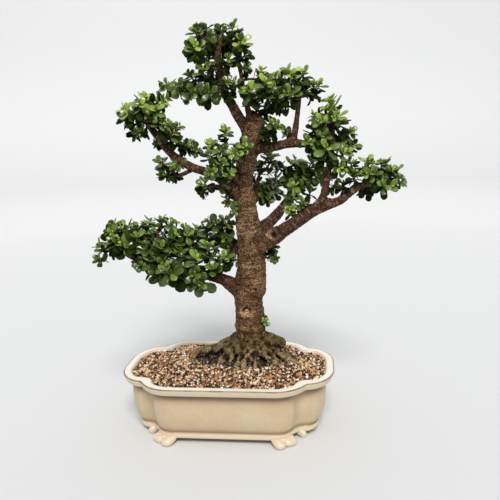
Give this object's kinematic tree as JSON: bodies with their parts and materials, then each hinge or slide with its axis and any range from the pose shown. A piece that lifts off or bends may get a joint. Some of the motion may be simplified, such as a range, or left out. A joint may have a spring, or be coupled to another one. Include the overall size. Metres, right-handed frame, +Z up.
{
  "type": "jade bonsai",
  "caption": "Jade bonsai with a thick ringed trunk, spreading roots and tiered pads of small round leaves, in a shallow lobed cream stoneware pot on cloud feet.",
  "frame": {"origin": "on the surface the pot stands on, straight below the middle of the trunk's foot", "axes": "+Z up, +X to the tree's right as seen from its front, -Y towards the viewer at the front"},
  "size_m": [0.4447, 0.2527, 0.5738],
  "materials": {
    "stoneware": "satin",
    "screen_plastic": "matte",
    "bare_wire": "satin",
    "grit": "matte",
    "bark": "matte",
    "twig": "satin",
    "leaf": "satin"
  },
  "bodies": {
    "root": {"pot": "stoneware", "drain_screen_left": "screen_plastic", "drain_screen_right": "screen_plastic", "screen_clip_left": "bare_wire", "screen_clip_right": "bare_wire", "tie_wire": "bare_wire", "soil": "grit", "trunk_and_branches": "bark", "foliage_lower_left_tip": "leaf", "foliage_lower_left_middle": "leaf", "foliage_lower_left_inner": "leaf", "foliage_lower_back_left": "leaf", "foliage_upper_left_tip": "leaf", "foliage_upper_left_inner": "leaf", "foliage_upper_left_under": "leaf", "foliage_centre_front": "leaf", "foliage_centre_sprig": "leaf", "foliage_centre_lower": "leaf", "foliage_apex": "leaf", "foliage_apex_left": "leaf", "foliage_apex_inner": "leaf", "foliage_upper_right": "leaf", "foliage_upper_right_inner": "leaf", "foliage_right_tower": "leaf", "foliage_right_tip": "leaf", "foliage_back_right": "leaf", "foliage_back_centre": "leaf", "foliage_rear": "leaf", "foliage_trunk_right": "leaf", "basal_sprout": "leaf"}
  },
  "joints": []
}
